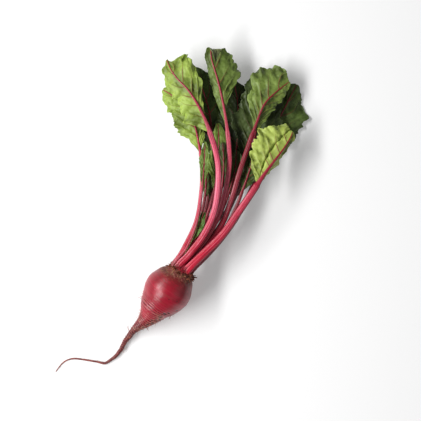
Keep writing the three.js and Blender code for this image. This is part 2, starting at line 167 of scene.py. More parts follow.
def add_piece(name, points, faces, uvs, material, values=None):
    """A mesh object at the origin from points in millimetres, shaded smooth, with its UV map."""
    mesh = bpy.data.meshes.new(name)
    mesh.from_pydata((points * MM).tolist(), [], faces)
    mesh.polygons.foreach_set("use_smooth", [True] * len(mesh.polygons))
    layer = mesh.uv_layers.new(name="surface")
    layer.data.foreach_set("uv", np.asarray(uvs, float).ravel())
    for key, value in (values or {}).items():
        held = mesh.attributes.new(key, "FLOAT", "POINT")
        held.data.foreach_set("value", np.asarray(value, float))
    mesh.materials.append(material)
    mesh.update()
    piece = bpy.data.objects.new(name, mesh)
    bpy.context.scene.collection.objects.link(piece)
    return piece


def linear(colour):
    """A colour from 0 to 255 as the eye sees it, in the render's own light values."""
    shares = [value / 255 for value in colour]
    return (*(n / 12.92 if n <= 0.04045 else ((n + 0.055) / 1.055) ** 2.4 for n in shares), 1.0)


class Term:
    """A socket in a node tree. Arithmetic on it adds Math nodes, and make adds any other node."""

    def __init__(self, tree, socket=None):
        self.tree = tree
        self.socket = socket

    def make(self, kind, settings, sockets, out=0):
        node = self.tree.nodes.new(kind)
        for key, value in settings.items():
            if key == "stops":
                while len(node.color_ramp.elements) < len(value):
                    node.color_ramp.elements.new(0.5)
                for element, (place, colour) in zip(node.color_ramp.elements, value):
                    element.position = place
                    element.color = colour
            else:
                setattr(node, key, value)
        for key, value in sockets.items():
            if isinstance(value, Term):
                self.tree.links.new(value.socket, node.inputs[key])
            else:
                node.inputs[key].default_value = value
        return Term(self.tree, node.outputs[out])

    def math(self, operation, *values):
        return self.make("ShaderNodeMath", {"operation": operation}, dict(enumerate(values)))

    def __add__(self, other):
        return self.math("ADD", self, other)

    def __sub__(self, other):
        return self.math("SUBTRACT", self, other)

    def __rsub__(self, other):
        return self.math("SUBTRACT", other, self)

    def __mul__(self, other):
        return self.math("MULTIPLY", self, other)

    def __truediv__(self, other):
        return self.math("DIVIDE", self, other)

    def __abs__(self):
        return self.math("ABSOLUTE", self)

    __radd__ = __add__
    __rmul__ = __mul__

    def ramp(self, low, high):
        """This value as 0 at low and 1 at high, eased between."""
        sockets = {"Value": self, "From Min": low, "From Max": high}
        return self.make("ShaderNodeMapRange", {"interpolation_type": "SMOOTHSTEP"}, sockets)

    def colours(self, stops):
        stops = [(place, linear(colour)) for place, colour in stops]
        return self.make("ShaderNodeValToRGB", {"stops": stops}, {"Fac": self})

    def mix(self, a, b):
        """Colour a where this value is 0 and colour b where it is 1."""
        a, b = (colour if isinstance(colour, Term) else linear(colour) for colour in (a, b))
        return self.make("ShaderNodeMix", {"data_type": "RGBA"}, {0: self, 6: a, 7: b}, out=2)

    def noise(self, scale, detail=3.0, roughness=0.55):
        """Noise from 0 to 1 at this place."""
        sockets = {"Vector": self, "Scale": scale, "Detail": detail, "Roughness": roughness}
        return self.make("ShaderNodeTexNoise", {}, sockets)

    def scaled(self, x, y, z):
        """This vector with each axis scaled, to stretch a pattern."""
        return self.make("ShaderNodeVectorMath", {"operation": "MULTIPLY"}, {0: self, 1: (x, y, z)})

    def axis(self, name):
        return self.make("ShaderNodeSeparateXYZ", {}, {0: self}, out=name)

    def held(self, name):
        """A value that the mesh holds at each vertex."""
        return self.make("ShaderNodeAttribute", {"attribute_name": name}, {}, out="Fac")

    def bump(self, strength, distance):
        return self.make("ShaderNodeBump", {}, {"Height": self, "Strength": strength, "Distance": distance})


def new_material(name, **constants):
    """A material's place in metres, its UV surface, and what links its sockets and gives it back."""
    made = bpy.data.materials.new(name)
    made.use_nodes = True
    tree = made.node_tree
    shader = tree.nodes["Principled BSDF"]
    for key, value in constants.items():
        shader.inputs[key.replace("_", " ")].default_value = value
    start = Term(tree)
    place = start.make("ShaderNodeTexCoord", {}, {}, out="Object")
    surface = start.make("ShaderNodeUVMap", {"uv_map": "surface"}, {})

    def finish(**sockets):
        for key, value in sockets.items():
            tree.links.new(value.socket, shader.inputs[key.replace("_", " ")])
        return made

    return place, surface, finish


def root_skin():
    """Ramps on along and ragged are in millimetres from the crown's rim, the others in shares."""
    place, surface, finish = new_material("root_skin", Specular_IOR_Level=0.5)
    along = surface.axis("Y") * UV_LENGTH
    broad = place.noise(36, 4)
    fine = place.noise(300, 5, 0.6)
    rings = surface.scaled(2.2, 115, 1).noise(1.0, 5, 0.65)
    faint = surface.scaled(5, 42, 1).noise(1.0, 3)
    colour = broad.ramp(0.34, 0.66).mix(CRIMSON, DEEP_CRIMSON)
    colour = (rings.ramp(0.5, 0.7) * 0.45).mix(colour, PALE_RINGS)
    colour = (rings.ramp(0.5, 0.34) * 0.5).mix(colour, DARK_RINGS)
    colour = (faint.ramp(0.54, 0.72) * 0.4).mix(colour, BROWN_CLOUDS)
    colour = (fine.ramp(0.56, 0.72) * 0.35).mix(colour, DARK_SPECKS)
    # Cork on the crown, which thins into flecks over the shoulder and spreads further on the left.
    ragged = along - place.held("far_side") * 7 + (broad - 0.5) * 10 + (fine - 0.5) * 13
    flecks = surface.scaled(60, 34, 1).noise(1.0, 5, 0.7)
    colour = ragged.ramp(CORK_END + 1, CORK_END + 9).mix(flecks.colours(CORK), colour)
    russet = (1 - ragged.ramp(CORK_END + 4, CORK_END + 28)) * fine.ramp(0.3, 0.56) * 0.8
    colour = russet.mix(colour, RUSSET)
    # The skin turns brown down the taper. The wrinkles' crests are made pale with painted highlight, and
    # painted shade darkens their folds and deepens the neck's brown in them.
    crease = place.held("crease")
    neck = (crease * 0.22 + rings).ramp(0.34, 0.72).mix(NECK_SHADE, NECK_RED)
    colour = (ragged.ramp(72, 102) * 0.88).mix(colour, neck)
    even = 1 - along.ramp(84, 106) * 0.75
    crest = crease.ramp(0.1, 0.75) * faint.ramp(0.34, 0.6) * even
    colour = (crest * 0.6).mix(colour, WRINKLE_CREST_HIGHLIGHT)
    colour = (crease.ramp(-0.05, -0.5) * even * 0.85).mix(colour, WRINKLE_FOLD_SHADE)
    # The tail is stringy and pales towards its tip.
    strands = surface.scaled(26, 9, 1).noise(1.0, 5, 0.65)
    thin = along.ramp(82, 108)
    colour = ragged.ramp(128, 190).mix(colour, fine.ramp(0.36, 0.62).mix(TAIL_BROWN, TAIL_PINK))
    colour = (thin * strands.ramp(0.55, 0.63) * 0.6).mix(colour, PALE_STRANDS)
    colour = (thin * strands.ramp(0.47, 0.36) * 0.75).mix(colour, DARK_STRANDS)
    colour = (along.ramp(200, 300) * 0.7).mix(colour, TIP_PINK)
    pit = place.held("pit")
    pale_rim = pit.ramp(0.005, 0.06) * fine.ramp(0.36, 0.6) * along.ramp(58, 70)
    colour = (pale_rim * 0.65).mix(colour, PIT_RIM)
    colour = (pit.ramp(0.12, 0.6) * 0.95).mix(colour, PIT_DARK)
    dry = 1 - ragged.ramp(CORK_END, CORK_END + 9)
    roughness = 0.23 + fine * 0.08 + faint * 0.08 + dry * 0.4 + along.ramp(84, 120) * 0.2
    height = rings * 0.8 + fine * 0.35 + dry * flecks * 1.8 + thin * strands * 1.5
    return finish(Base_Color=colour, Roughness=roughness, Normal=height.bump(0.55, 0.0006))


LINE_SHARES = np.linspace(0, 1, 4001)
ROOT_RUN = length_along(through(ROOT_LINE, LINE_SHARES))  # millimetres along the root at those shares


def on_root_line(run):
    return through(ROOT_LINE, np.interp(run, ROOT_RUN, LINE_SHARES))


def root_frames(run):
    """Points on the root's centre line at millimetres along it, with radius and directions."""
    line = on_root_line(run)
    ahead = unit(on_root_line(run + 0.5)[:, :3] - on_root_line(run - 0.5)[:, :3])
    side = unit(np.cross(ahead, [0, 0, 1]))
    return line[:, :3], line[:, 3], ahead, side, np.cross(side, ahead)


def round_ring(side, up, turn):
    """Unit vectors outwards from a line, at shares of a turn that starts at its underside."""
    angle = 2 * math.pi * turn - math.pi / 2
    return -side[:, None] * np.cos(angle)[..., None] + up[:, None] * np.sin(angle)[..., None]


def root_points():
    """The root's rings in millimetres, the middles of its two ends, and the values its skin reads."""
    tail = np.linspace(TAPER_END, ROOT_RUN[-1], TAIL_RINGS + 1)[1:]
    run = np.concatenate([np.linspace(0, TAPER_END, FINE_RINGS), tail])
    centre, radius, ahead, side, up = root_frames(run)
    turn = np.arange(ROOT_SIDES) / ROOT_SIDES
    outward = round_ring(side, up, turn)
    rings = centre[:, None] + outward * radius[:, None, None]
    along = run[:, None]
    lumps = rough(rings, 26, 1) * LUMP_HEIGHT * smooth(along, 4, 30) * (radius / 30)[:, None]
    # Wrinkles run round the taper in broken, wandering rings.
    strong = smooth(along, *WRINKLES[:2]) * (1 - smooth(along, *WRINKLES[2:]))
    wander = 0.55 * rough(rings, 20, 2)
    turns = 2 * math.pi * (along / WRINKLE_STEP + wander + 0.14 * rough(rings, 5, 9))
    broken = 0.35 + 0.65 * smooth(rough(rings, 13, 7), -0.3, 0.3)
    crease = np.cos(turns) * broken * strong
    wrinkles = crease * WRINKLE_HEIGHT * (radius / 9).clip(0, 1)[:, None]
    # Cork flakes on the crown's rim, which has a raised lip with a hollow below it.
    corky = 1 - smooth(along, CORK_END, CORK_END + 7)
    cork = (rough(rings, 2.6, 3) * CORK_HEIGHT + rough(rings, 1.3, 8) * 0.4) * corky
    lip = 0.5 * bell(along, 2, 2.2) - 0.9 * bell(along, 7.5, 3.4)
    thick = (radius / 4).clip(0, 1)[:, None]
    knots = rough(rings, 3.2, 4) * KNOT_HEIGHT * smooth(along, 84, 110) * thick
    furrow = -FURROW_DEPTH * bell(turn, FURROW, FURROW_WIDTH) * smooth(along, 55, 75)
    furrow = furrow * (1 - smooth(along, 95, 112))
    pit = np.zeros(rings.shape[:2])
    for where, around, long, wide in PITS:
        away = (turn - around) * 2 * math.pi * radius[:, None]
        pit = np.maximum(pit, np.exp(-(((along - where) / wide) ** 2) - (away / long) ** 2))
    out = lumps + wrinkles + cork + lip + knots + furrow - PIT_DEPTH * pit
    rings += outward * out[..., None]
    # The crown is a low dome over the first ring, and the underside lies flat on the surface.
    angles = np.linspace(0, math.pi / 2, CROWN_RINGS, endpoint=False)[1:]
    rim = rings[0] - centre[0]
    rise = CROWN_OUT * CROWN_RISE
    dome = np.array([centre[0] + rim * math.sin(a) + rise * math.cos(a) for a in angles])
    dome += CROWN_OUT * (rough(dome, 2.2, 5) * CROWN_GRIT)[..., None]
    rings = np.concatenate([dome, rings])
    rings[..., 2] = rings[..., 2].clip(0)
    ends = centre[0] + rise, centre[-1] + ahead[-1] * 1.5
    plain = np.zeros(dome.shape[:2])
    far_side = (-(outward @ CROWN_ACROSS)).clip(0, 1)
    values = {"pit": pit, "crease": crease, "furrow": -furrow / FURROW_DEPTH, "far_side": far_side}
    values = {key: np.append(np.concatenate([plain, value]), [0, 0]) for key, value in values.items()}
    return rings, *ends, values


*rings_and_ends, root_values = root_points()
root_mesh = skin_over(*rings_and_ends)
root = add_piece("beet_root", *root_mesh, root_skin(), root_values)
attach(root, "root")
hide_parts("root")

# Growths on the root: dried stubs of old leaves and small pink shoots round the rim of the crown, short
# side roots and hair roots on the taper and the tail. All of them grew out of the root's skin, which
# holds them.
GROWTHS = {
    # How many to a square metre, millimetres long, half thickness at the foot, bend, lean, seed.
    "old_stubs": (70000, 4.2, 1.3, 0.7, 0.6, 3),
    "side_roots": (60000, 6.0, 0.4, 1.0, 0.8, 8),
    "hair_roots": (260000, 4.5, 0.13, 1.2, 0.9, 5),
    "young_shoots": (500000, 5.0, 0.5, 2.0, 0.8, 2),
}
GROWTH_SKINS = {
    # The skin's name, its colour at the foot and at the tip.
    "old_stubs": ("old_stub_husk", (112, 56, 38), (172, 140, 88)),
    "side_roots": ("side_root_skin", (120, 40, 40), (186, 140, 112)),
    "hair_roots": ("hair_root_skin", (176, 120, 104), (214, 190, 164)),
    "young_shoots": ("young_shoot_skin", (164, 30, 54), (214, 130, 120)),
}
EARTH_FLECKS = (70, 36, 24)
PALE_FLECKS = (206, 168, 120)
# How growths vary: the tilt two ways as shares of the lean, the turn, the length and the thickness.
GROWTHS_VARY = [(-1, 1), (-1, 1), (0, 6.28), (0.35, 1.25), (0.6, 1.4)]
SHOOTS_AT = np.array([20.0, 30.0, 45.0])  # millimetres, on the crown's rim in front of the stalks
SHOOTS_REACH = 4.5
ROOTED = 0.8 * MM  # how deep a growth's foot is in the skin
LIES_AT = 0.25 * MM  # the height at which a growth begins to lie along the surface


def growth_tree():
    """Nodes that grow bent tapering shoots on a mesh, as thickly as its attribute "grows" says."""
    tree = bpy.data.node_groups.new("growths", "GeometryNodeTree")
    inputs = {"Geometry": "Geometry", "Per Square Metre": "Float", "Length": "Float",
              "Half Thickness": "Float", "Bend": "Float", "Lean": "Float", "Seed": "Int",
              "Material": "Material"}
    for name, kind in inputs.items():
        tree.interface.new_socket(name, in_out="INPUT", socket_type="NodeSocket" + kind)
    tree.interface.new_socket("Geometry", in_out="OUTPUT", socket_type="NodeSocketGeometry")
    into = tree.nodes.new("NodeGroupInput").outputs
    given = {socket.name: Term(tree, socket) for socket in into if socket.name}
    start = Term(tree)

    def vector(x, y, z):
        axes = {"X": x, "Y": y, "Z": z}
        return start.make("ShaderNodeCombineXYZ", {}, {key: value for key, value in axes.items() if value})

    grows = start.make("GeometryNodeInputNamedAttribute", {"data_type": "FLOAT"}, {"Name": "grows"})
    points = start.make("GeometryNodeDistributePointsOnFaces", {}, {
        "Mesh": given["Geometry"], "Density": grows * given["Per Square Metre"], "Seed": given["Seed"]})
    outwards = Term(tree, points.socket.node.outputs["Rotation"])
    # One growth is a thin round tube that tapers along a bent line.
    length, bend, lean = given["Length"], given["Bend"], given["Lean"]
    line = start.make("GeometryNodeCurveQuadraticBezier", {}, {
        "Resolution": 7, "Start": (0, 0, -ROOTED), "Middle": vector(0, 0, length * 0.55),
        "End": vector(length * bend * 0.6, length * bend * 0.2, length)})
    foot_to_tip = start.make("GeometryNodeSplineParameter", {}, {})
    ring = start.make("GeometryNodeCurvePrimitiveCircle", {}, {
        "Resolution": 6, "Radius": given["Half Thickness"]})
    shoot = start.make("GeometryNodeCurveToMesh", {}, {
        "Curve": line, "Profile Curve": ring, "Scale": 1 - foot_to_tip * 0.75, "Fill Caps": True})
    shoot = start.make("GeometryNodeStoreNamedAttribute", {"data_type": "FLOAT"}, {
        "Geometry": shoot, "Name": "up", "Value": foot_to_tip})
    tilt_x, tilt_y, turn, tall, thick = (
        start.make("FunctionNodeRandomValue", {"data_type": "FLOAT"}, {2: low, 3: high, "Seed": seed}, out=1)
        for seed, (low, high) in enumerate(GROWTHS_VARY, start=1))
    tilt = start.make("FunctionNodeEulerToRotation", {}, {
        "Euler": vector(tilt_x * lean, tilt_y * lean, turn)})
    turned = start.make("FunctionNodeRotateRotation", {"rotation_space": "LOCAL"}, {
        "Rotation": outwards, "Rotate By": tilt})
    placed = start.make("GeometryNodeInstanceOnPoints", {}, {
        "Points": points, "Instance": shoot, "Rotation": turned, "Scale": vector(thick, thick, tall)})
    whole = start.make("GeometryNodeRealizeInstances", {}, {"Geometry": placed})
    whole = start.make("GeometryNodeSetShadeSmooth", {}, {"Geometry": whole})
    whole = start.make("GeometryNodeSetMaterial", {}, {"Geometry": whole, "Material": given["Material"]})
    tree.links.new(whole.socket, tree.nodes.new("NodeGroupOutput").inputs["Geometry"])
    return tree


def dry_fibre(name, foot, tip):
    place, _, finish = new_material(name, Roughness=0.8, Specular_IOR_Level=0.3)
    mottle = place.noise(900, 4, 0.6)
    colour = place.held("up").mix(foot, tip)
    colour = (mottle.ramp(0.5, 0.66) * 0.6).mix(colour, EARTH_FLECKS)
    colour = (mottle.ramp(0.46, 0.3) * 0.5).mix(colour, PALE_FLECKS)
    return finish(Base_Color=colour, Normal=mottle.bump(0.5, 0.0003))


def where_growth_is():
    """For each growth, how thickly it grows at each point of the root."""
    spots = root_mesh[0]
    from_crown = spots - CROWN_MIDDLE
    run = from_crown @ -CROWN_OUT
    from_axis = np.linalg.norm(from_crown + run[:, None] * CROWN_OUT, axis=1)
    left = (-from_crown @ CROWN_ACROSS / 12).clip(0, 1)
    rim = smooth(from_axis, 10.5, 12.5) * (1 - smooth(run, 2.0 + 3 * left, 4.0 + 5 * left))
    above = smooth(spots[:, 2], 0.8, 2.5)
    taper = smooth(run, 46, 60) * above
    clumps = smooth(rough(spots, 7, 31), 0.0, 0.35)
    furrow = root_values["furrow"]
    return {
        "old_stubs": rim,
        "side_roots": furrow * above * 0.5 + taper * 0.12 * clumps,
        "hair_roots": (furrow * 0.8 + taper * clumps * 0.35) * above,
        "young_shoots": bell(np.linalg.norm(spots - SHOOTS_AT, axis=1), 0, SHOOTS_REACH).round(3),
    }


growth_nodes = growth_tree()
fibres = {name: dry_fibre(*skin) for name, skin in GROWTH_SKINS.items()}
for name, grows in where_growth_is().items():
    growth = add_piece(name, *root_mesh, fibres[name], {"grows": grows})
    nodes = growth.modifiers.new("growths", "NODES")
    nodes.node_group = growth_nodes
    density, long, thick, bend, lean, seed = GROWTHS[name]
    given = {"Per Square Metre": float(density), "Length": long * MM, "Half Thickness": thick * MM,
             "Bend": bend, "Lean": lean, "Seed": seed, "Material": fibres[name]}
    for item in growth_nodes.interface.items_tree:
        if item.in_out == "INPUT" and item.name in given:
            nodes[item.identifier] = given[item.name]
    seen = growth.evaluated_get(bpy.context.evaluated_depsgraph_get())
    grown = bpy.data.meshes.new_from_object(seen)
    spots = np.empty(len(grown.vertices) * 3)
    grown.vertices.foreach_get("co", spots)
    heights = spots[2::3]
    # What would reach below the surface lies along it.
    spots[2::3] = np.where(heights < LIES_AT, LIES_AT + (heights - LIES_AT) * 0.04, heights)
    grown.vertices.foreach_set("co", spots)
    growth.modifiers.clear()
    growth.data = grown
    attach(growth, "root")
    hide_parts("root")

# Stalks: eleven red leaf stalks that leave the crown side by side, each ribbed lengthwise, grooved on
# its inner side and thinning into the midrib of its leaf. They grew out of the crown, which holds them.
LINE_STEPS = 240
STALK_RINGS = 190
STALK_SIDES = 44
STALK_RIBS = 11
RIB_DEPTH = 0.055  # this, the groove's depth and the foot's swelling are shares of the half width
GROOVE_DEPTH = 0.3
FOOT_SWELLING = 0.16
SEAT_DEPTH = 4.0  # millimetres from the foot's end to the seat on the crown
SEAT_RISE = 7.0  # millimetres over which a stalk leaves the crown straight
MIDRIB_TIP = 0.5  # half width
FLATNESS = 0.72  # height as a share of width
# One half of a blade has its width, in degrees how it leaves the midrib and curls, its ruffle's height,
# waves and phase, where along the blade it is widest, how far its edge sweeps towards the tip at both
# ends, how quickly it widens and narrows, how wide the tip stays, and where out from the midrib it folds.
Half = namedtuple("Half", "width leave curl ruffle peak sweep rise fall end fold",
                  defaults=(0.5, (0, 0.4), 1.5, 0.8, 0, None))
# A leaf has its seat, in millimetres across and up from the crown's middle, the points of its line, its
# stalk's half width at the foot and at the blade, and the share of the line where the blade begins.
LEAVES = {
    "a": {
        "seat": (-13.2, 1.5),
        "line": [
            [23, 57, 38], [38, 90, 36], [44, 127, 33], [44.5, 160, 30.5], [40, 192, 30],
            [33.5, 216, 29], [23, 234, 26], [9, 246, 21], [-4, 255, 13],
        ],
        "stalk": (3.3, 2), "blade_from": 0.6,
        "left": Half(width=23, peak=0.45, sweep=(-0.2, 0.4), leave=5, curl=-35, ruffle=(2.6, 4.5, 0.3)),
        "right": Half(width=20, peak=0.6, sweep=(-0.2, 0.5), leave=-5, curl=-30, ruffle=(2.6, 4, 0.1)),
    },
    "b": {
        "seat": (-7, 5),
        "line": [
            [29.5, 49, 44], [47.5, 73, 46], [60.5, 103, 47], [65.5, 139, 47.5], [63.5, 170, 48],
            [53.5, 204, 49], [42, 230, 50], [28, 252, 48], [14, 267, 44], [6, 279, 39], [1, 291, 32],
        ],
        "stalk": (4.7, 3.4), "blade_from": 0.63,
        "left": Half(width=26, peak=0.4, rise=1.2, sweep=(-0.5, 0.3), leave=-8, curl=-15,
                     ruffle=(3, 4.5, 0.2)),
        "right": Half(width=34, peak=0.72, rise=4, fall=2, sweep=(0.1, 0.6), leave=6, curl=-20,
                      ruffle=(3.2, 5, 0.9)),
    },
    "c": {
        "seat": (-2.8, -1.2),
        "line": [
            [37, 51.5, 37], [53, 73, 37.5], [66.5, 98.5, 37], [74, 126, 36.5], [79, 157, 36],
            [79, 178, 36], [76, 208, 36], [71, 238, 36], [65, 264, 35], [60, 281, 33], [56.5, 294, 32],
            [56.5, 303, 36], [59, 300, 42], [61.5, 287, 43.5],
        ],
        "stalk": (3.4, 2.9), "blade_from": 0.6,
        "left": Half(width=9, sweep=(0, 0.2), leave=-8, curl=-15, ruffle=(1.6, 4, 0.9)),
        "right": Half(width=29, peak=0.6, rise=5, fall=1.2, sweep=(0, 0), leave=-3, curl=-25,
                      ruffle=(2.6, 5, 0.6)),
    },
    "d": {
        "seat": (4.2, -2.6),
        "line": [
            [50, 60, 32], [69, 85, 33.5], [81.5, 116, 35], [91, 148, 36], [101, 178, 36],
            [111.5, 208, 37], [122, 234, 37], [137, 250.5, 33], [154, 264, 27],
        ],
        "stalk": (4.5, 2.9), "blade_from": 0.7,
        "left": Half(width=35, peak=0.75, end=0.4, rise=2.6, sweep=(-0.3, 0.5), leave=-4, curl=-10,
                     ruffle=(3, 4.5, 0.2)),
        "right": Half(width=15, leave=-20, curl=-20, ruffle=(2.2, 4, 0.4)),
    },
    "e": {
        "seat": (4.6, 5),
        "line": [
            [45.5, 48, 43], [70, 72.5, 44.5], [89, 99, 46], [105.5, 123, 47], [122, 147.5, 47.5],
            [135.5, 165.5, 47], [146.5, 180, 44], [154, 192, 40.5], [158, 201, 37],
        ],
        "stalk": (5.3, 4.2), "blade_from": 0.64,
        "left": Half(width=35, peak=0.6, end=0.3, sweep=(-0.5, 0.5), leave=-3, curl=-5,
                     ruffle=(3.2, 4.5, 0.8), fold=0.32),
        "right": Half(width=15, sweep=(0, 0.2), leave=-55, curl=-20, ruffle=(1.8, 4, 0.6)),
    },
    "f": {
        "seat": (-9.6, -3.2),
        "line": [
            [31, 60, 31], [46, 84, 29], [56, 110, 27.5], [62, 138, 27], [64.5, 165, 27],
            [66, 190, 26], [65, 212, 24],
        ],
        "stalk": (2.6, 1.9), "blade_from": 0.56,
        "left": Half(width=11, peak=0.45, sweep=(0, 0.5), leave=4, curl=5, ruffle=(1.6, 4, 0.5)),
        "right": Half(width=12, peak=0.45, sweep=(0, 0.5), leave=4, curl=-10, ruffle=(1.6, 4, 0.2)),
    },
    "g": {
        "seat": (3.3, -8.7),
        "line": [
            [48, 55, 25], [66, 80, 22.5], [80, 107, 20.5], [92, 134, 19.5], [102, 162, 19.5],
            [110, 192, 20], [116, 222, 19.5], [120, 250, 18], [122, 270, 14.5], [121, 282, 11],
        ],
        "stalk": (3.5, 2.5), "blade_from": 0.55,
        "left": Half(width=29, sweep=(-0.2, 0.4), leave=6, curl=0, ruffle=(2.6, 4.5, 0.1)),
        "right": Half(width=28, sweep=(-0.2, 0.4), leave=3, curl=-8, ruffle=(2.6, 4.5, 0.1)),
    },
    "h": {
        "seat": (9.2, -6.6),
        "line": [
            [50, 46, 23], [69, 67, 18], [88, 93, 14], [103, 121, 11.3], [115, 151, 10.3],
            [126, 181, 10.3], [137, 209, 10.3], [151, 236, 8.8], [164, 262, 5.3],
        ],
        "stalk": (3.8, 2.7), "blade_from": 0.55,
        "left": Half(width=27, sweep=(-0.2, 0.4), leave=-2, curl=-8, ruffle=(1.8, 4.5, 0.8)),
        "right": Half(width=29, peak=0.55, sweep=(-0.2, 0.4), leave=0, curl=-10, ruffle=(2.2, 4.5, 0.4)),
    },
    "i": {
        "seat": (-9.4, -7.6),
        "line": [
            [30, 57, 23], [42.5, 80, 17.5], [50, 106, 12.5], [54, 134, 10.4], [56, 163, 10],
            [57, 193, 10.3], [55, 222, 10.3], [48, 249, 9.4], [40, 270, 7.3], [36, 283, 5.8],
        ],
        "stalk": (3.5, 2.5), "blade_from": 0.57,
        "left": Half(width=30, sweep=(-0.2, 0.4), leave=0, curl=-10, ruffle=(2.4, 4.5, 0.9)),
        "right": Half(width=27, sweep=(-0.2, 0.4), leave=0, curl=-10, ruffle=(2.4, 4.5, 0.6)),
    },
    "j": {
        "seat": (-3, -8.6),
        "line": [
            [39.9, 55.5, 24.1], [56, 79, 20], [67.5, 105, 17], [77, 132, 15.5], [84, 160, 14.5],
            [89.5, 190, 14], [91, 218, 13.5], [89, 244, 11.5], [85, 266, 7],
        ],
        "stalk": (3.5, 2.5), "blade_from": 0.53,
        "left": Half(width=28, sweep=(-0.2, 0.4), leave=2, curl=-8, ruffle=(2.6, 4.5, 0.4)),
        "right": Half(width=28, sweep=(-0.2, 0.4), leave=5, curl=0, ruffle=(2.6, 4.5, 0.7)),
    },
    "k": {
        "seat": (-13.4, 6.9),
        "line": [
            [26, 57, 45], [37.5, 84, 44.5], [43, 110, 43], [46, 138, 42], [48, 166, 41], [49, 188, 38],
        ],
        "stalk": (1.6, 1.1), "blade_from": 0.66,
        "left": Half(width=4.5, sweep=(0, 0.5), leave=10, curl=5, ruffle=(0.9, 4, 0.5)),
        "right": Half(width=5, sweep=(0, 0.5), leave=10, curl=5, ruffle=(0.9, 4, 0.2)),
    },
}
# Each stalk's colour near the crown, then further up. The pale upper tints of b and c are partly their own
# pale skin and partly painted sheen; the darker tints of d further up and of the low stalks g to j are
# painted shade.
STALK_TINTS = {
    "a": ((182, 12, 46), (190, 48, 76)), "b": ((178, 10, 44), (206, 72, 100)),
    "c": ((168, 8, 36), (212, 74, 98)), "d": ((172, 8, 40), (122, 8, 28)),
    "e": ((192, 12, 48), (172, 26, 54)), "f": ((158, 8, 36), (138, 18, 36)),
    "g": ((140, 8, 32), (98, 10, 22)), "h": ((150, 8, 34), (112, 10, 24)),
    "i": ((140, 8, 32), (98, 10, 22)), "j": ((138, 8, 32), (96, 10, 22)),
    "k": ((170, 40, 62), (158, 46, 64)),
}
MIDRIB_RED = (134, 14, 38)
SHEATH_BROWN = (96, 40, 30)


def leaf_frames(leaf):
    """Points along a leaf's line with the ways ahead, up and to the side, from the crown to the tip."""
    across, lift = leaf["seat"]
    seat = CROWN_MIDDLE + CROWN_ACROSS * across + [0, 0, lift]
    line = [seat - CROWN_OUT * SEAT_DEPTH, seat + CROWN_OUT * SEAT_RISE, *leaf["line"]]
    fine = through(line, np.linspace(0, 1, 3001))
    run = length_along(fine)
    even = np.linspace(0, run[-1], LINE_STEPS + 1)
    at = np.stack([np.interp(even, run, fine[:, n]) for n in range(3)], -1)
    ahead = unit(np.gradient(at, axis=0))
    up = np.empty_like(at)
    last = np.array([0.0, 0.0, 1.0])
    for n, way in enumerate(ahead):
        last = last - way * last.dot(way)
        last /= np.linalg.norm(last)
        up[n] = last
    return {"at": at, "ahead": ahead, "up": up, "side": np.cross(ahead, up), "length": run[-1]}


def frames_at(frames, shares):
    """The leaf's frames at shares of its line from 0 to 1."""
    steps = np.linspace(0, 1, LINE_STEPS + 1)
    keys = ("at", "ahead", "up", "side")
    return [np.stack([np.interp(shares, steps, frames[k][:, n]) for n in range(3)], -1) for k in keys]


def stalk_half_width(leaf, share):
    foot, at_blade = leaf["stalk"]
    blade_from = leaf["blade_from"]
    low = foot + (at_blade - foot) * (np.minimum(share, blade_from) / blade_from) ** 0.8
    on_blade = (np.maximum(share - blade_from, 0) / (1 - blade_from)) ** 0.38
    return np.where(share < blade_from, low, at_blade + (MIDRIB_TIP - at_blade) * on_blade)


def stalk_points(leaf):
    """A stalk's rings, the middles of its two ends and its length, all in millimetres."""
    frames = leaf_frames(leaf)
    shares = np.linspace(0, 0.995, STALK_RINGS)
    at, ahead, up, side = frames_at(frames, shares)
    half = stalk_half_width(leaf, shares)
    half *= 1 + FOOT_SWELLING * bell(shares * frames["length"], SEAT_DEPTH, 9)
    turn = np.arange(STALK_SIDES) / STALK_SIDES
    angle = 2 * math.pi * turn - math.pi / 2
    thick = smooth(half, 0.9, 2.2)[:, None]
    swerve = rough(at, 30, 12)[:, None] * 0.5
    ribs = 1 + RIB_DEPTH * thick * np.cos(STALK_RIBS * angle + swerve * 3)
    from_below = np.minimum(turn, 1 - turn) * 2 * math.pi
    groove = 1 - GROOVE_DEPTH * thick * bell(from_below, 0, 0.5)
    wide = half[:, None] * np.cos(angle) * ribs
    high = half[:, None] * FLATNESS * np.sin(angle) * ribs * groove
    rings = at[:, None] - side[:, None] * wide[..., None] + up[:, None] * high[..., None]
    rings += up[:, None] * (rough(rings, 14, 6) * 0.14 * half[:, None])[..., None]
    end = frames_at(frames, np.array([1.0]))[0][0]
    return rings, at[0], end, frames["length"]


